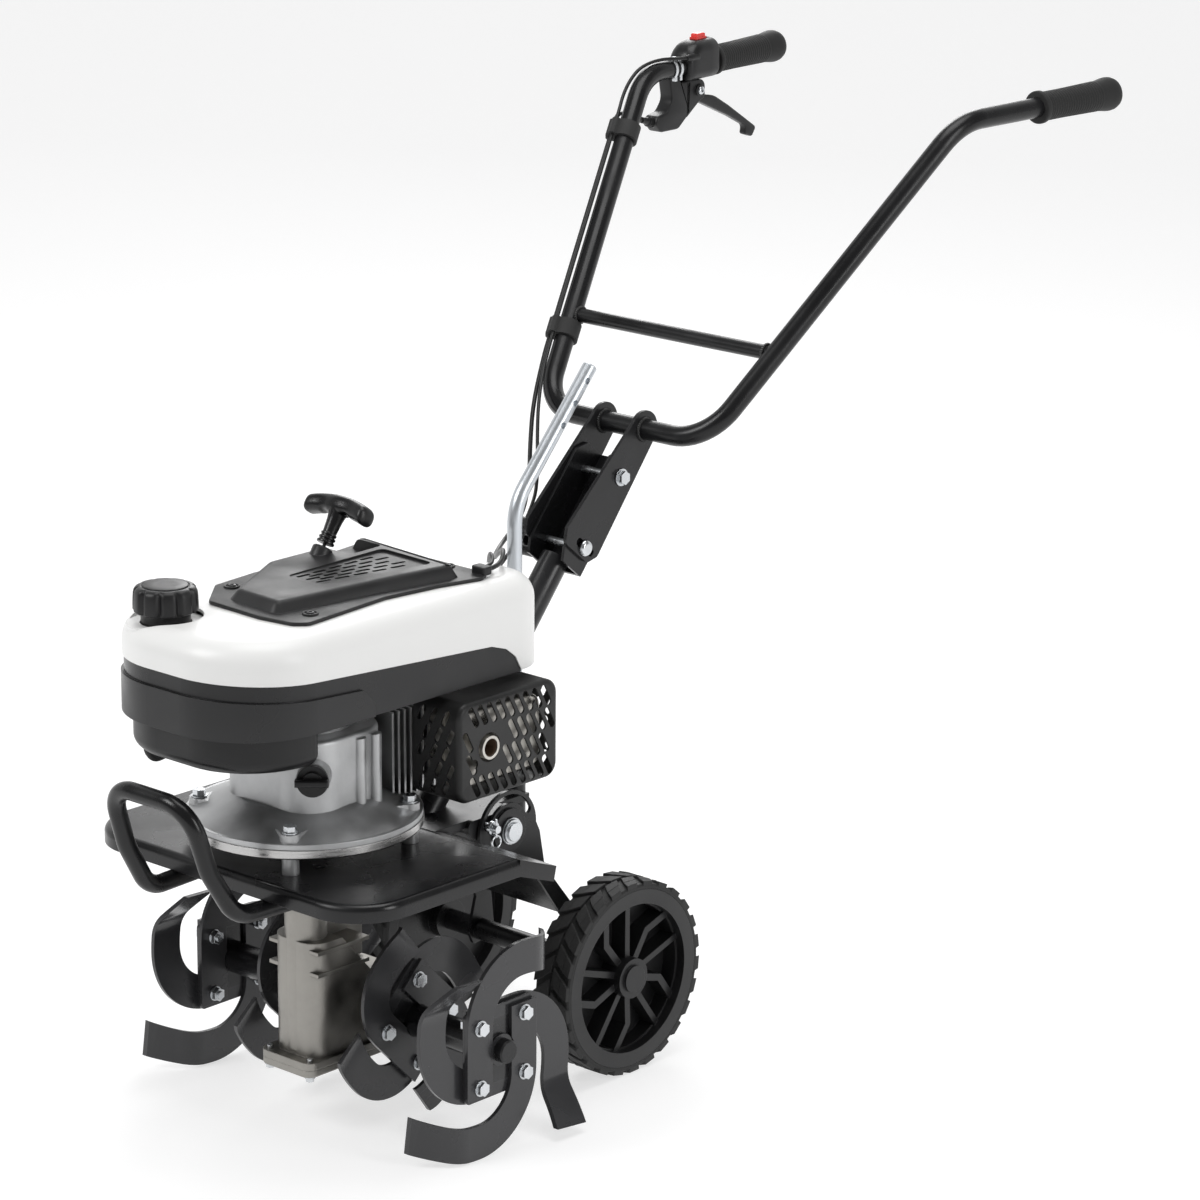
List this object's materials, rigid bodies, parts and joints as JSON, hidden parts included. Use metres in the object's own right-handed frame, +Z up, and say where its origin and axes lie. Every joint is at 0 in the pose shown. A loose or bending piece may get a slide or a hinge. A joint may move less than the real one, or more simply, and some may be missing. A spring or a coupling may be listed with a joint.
{
  "type": "garden tiller",
  "caption": "Walk-behind garden tiller with a vertical-shaft engine over a worm gear case, bolted sickle tines, folding transport wheels, drag bar and adjustable handlebar.",
  "frame": {"origin": "point on the ground straight below the middle of the tine shaft", "axes": "+X to the operator's left, -Y to the front, +Z up"},
  "size_m": [0.5236, 1.2422, 1.0172],
  "materials": {
    "black_paint": "satin black powder coat",
    "cast_aluminium": "bare cast aluminium",
    "zinc_steel": "zinc plated steel",
    "machined_steel": "turned steel",
    "bronze": "machined bronze",
    "cast_iron": "cast iron",
    "white_cover": "gloss white",
    "dark_plastic": "satin black plastic",
    "wheel_plastic": "satin black plastic",
    "tyre_rubber": "moulded rubber",
    "soft_rubber": "soft rubber",
    "rope_fabric": "braided rope",
    "red_plastic": "gloss red"
  },
  "bodies": {
    "chassis": {"gear_case": "cast_aluminium", "gear_case_cover": "cast_aluminium", "gear_case_bolts": "zinc_steel", "shaft_bearings": "machined_steel", "fender": "black_paint", "front_guard": "black_paint", "engine_spacers": "cast_aluminium", "engine_bolts": "zinc_steel", "sump_cover": "cast_aluminium", "crankcase": "cast_aluminium", "cylinder_head": "cast_aluminium", "muffler": "zinc_steel", "muffler_guard": "black_paint", "carburettor": "cast_aluminium", "shroud_base": "dark_plastic", "fuel_tank": "dark_plastic", "top_cover": "white_cover", "starter_cover": "dark_plastic", "fuel_hose": "soft_rubber", "rear_bracket": "black_paint", "main_post": "black_paint", "pivot_bolt": "zinc_steel", "clamp_bolt": "zinc_steel", "pivot_pins": "zinc_steel", "control_cables": "soft_rubber"},
    "tine_rotor": {"tine_shaft": "machined_steel", "tine_gear": "machined_steel", "tine_hubs": "black_paint", "left_tines": "black_paint", "right_tines": "black_paint", "tine_bolts": "zinc_steel"},
    "countershaft": {"worm_wheel": "bronze", "pinion_shaft": "machined_steel"},
    "worm_shaft": {"input_shaft": "machined_steel", "clutch_drum": "machined_steel"},
    "crank": {"crankshaft": "machined_steel", "flywheel": "cast_iron", "clutch_shoes": "machined_steel"},
    "starter_grip": {"starter_handle": "dark_plastic", "starter_rope": "rope_fabric"},
    "rope_pulley": {"starter_pulley": "dark_plastic"},
    "wheel_carrier": {"wheel_arm": "black_paint", "wheel_axle": "zinc_steel"},
    "left_wheel": {"left_tyre": "tyre_rubber", "left_rim": "wheel_plastic"},
    "right_wheel": {"right_tyre": "tyre_rubber", "right_rim": "wheel_plastic"},
    "handle": {"handlebar": "black_paint", "cheek_plates": "black_paint", "grips": "soft_rubber", "switch_housing": "dark_plastic", "lever_bracket": "dark_plastic", "cable_clips": "dark_plastic"},
    "knob": {"star_knob": "dark_plastic"},
    "lever": {"throttle_lever": "dark_plastic"},
    "governor_arm": {"throttle_arm": "zinc_steel"},
    "switch": {"stop_switch": "red_plastic"},
    "fuel_filler": {"fuel_cap": "dark_plastic"},
    "oil_filler": {"oil_cap": "dark_plastic"},
    "drag_bar": {"depth_bar": "zinc_steel"}
  },
  "joints": [
    {"name": "tine_spin", "type": "hinge", "parent": "chassis", "child": "tine_rotor", "pos_m": [0, 0, 0.11], "axis": [1, 0, 0], "continuous": true},
    {"name": "gear_shaft_spin", "type": "hinge", "parent": "chassis", "child": "countershaft", "pos_m": [0, -0.042, 0.11], "axis": [1, 0, 0], "continuous": true},
    {"name": "input_spin", "type": "hinge", "parent": "chassis", "child": "worm_shaft", "pos_m": [0, -0.079, 0.2], "axis": [0, 0, 1], "continuous": true},
    {"name": "crank_spin", "type": "hinge", "parent": "chassis", "child": "crank", "pos_m": [0, -0.079, 0.4], "axis": [0, 0, 1], "continuous": true},
    {"name": "starter_pull", "type": "slide", "parent": "chassis", "child": "starter_grip", "axis": [0, 0.5501, 0.8351], "range_m": [0, 0.55], "stiffness_N_per_m": 15, "springref_m": -0.5},
    {"name": "rope_pulley_turn", "type": "hinge", "parent": "chassis", "child": "rope_pulley", "pos_m": [0, -0.079, 0.52], "axis": [0, 0, 1], "range_deg": [0, 790]},
    {"name": "wheel_arm_fold", "type": "hinge", "parent": "chassis", "child": "wheel_carrier", "pos_m": [0, 0.15, 0.278], "axis": [1, 0, 0], "range_deg": [0, 58]},
    {"name": "left_wheel_spin", "type": "hinge", "parent": "wheel_carrier", "child": "left_wheel", "pos_m": [0.1355, 0.25, 0.107], "axis": [1, 0, 0], "continuous": true},
    {"name": "right_wheel_spin", "type": "hinge", "parent": "wheel_carrier", "child": "right_wheel", "pos_m": [-0.1355, 0.25, 0.107], "axis": [1, 0, 0], "continuous": true},
    {"name": "handle_tilt", "type": "hinge", "parent": "chassis", "child": "handle", "pos_m": [0, 0.366, 0.614], "axis": [1, 0, 0], "range_deg": [-6.5, 6.5], "deforming": ["control_cables"]},
    {"name": "knob_turn", "type": "hinge", "parent": "chassis", "child": "knob", "pos_m": [-0.045, 0.30943, 0.54659], "axis": [1, 0, 0], "range_deg": [0, 720]},
    {"name": "lever_squeeze", "type": "hinge", "parent": "handle", "child": "lever", "pos_m": [-0.234, 0.779, 0.953], "axis": [1, 0, 0], "range_deg": [0, 22], "stiffness_Nm_per_rad": 2, "springref_deg": -20.05},
    {"name": "throttle_arm_turn", "type": "hinge", "parent": "chassis", "child": "governor_arm", "pos_m": [-0.048, -0.15, 0.403], "axis": [0, 1, 0], "range_deg": [0, 22]},
    {"name": "stop_switch_slide", "type": "slide", "parent": "handle", "child": "switch", "axis": [-0.0654, 0.9977, 0.0164], "range_m": [0, 0.006]},
    {"name": "fuel_cap_turn", "type": "hinge", "parent": "chassis", "child": "fuel_filler", "pos_m": [-0.05, -0.218, 0.57], "axis": [0, 0, 1], "range_deg": [0, 120]},
    {"name": "oil_cap_turn", "type": "hinge", "parent": "chassis", "child": "oil_filler", "pos_m": [0.06, -0.122, 0.401], "axis": [0.6664, -0.736, 0.1194], "range_deg": [0, 360]},
    {"name": "drag_bar_slide", "type": "slide", "parent": "chassis", "child": "drag_bar", "axis": [0, 0, 1], "range_m": [0, 0.08]}
  ],
  "couplings": [
    {"joint": "gear_shaft_spin", "follows": "tine_spin", "ratio": -2},
    {"joint": "input_spin", "follows": "tine_spin", "ratio": -44},
    {"joint": "rope_pulley_turn", "follows": "starter_pull", "rad_per_m": 25},
    {"joint": "throttle_arm_turn", "follows": "lever_squeeze", "ratio": 1}
  ]
}
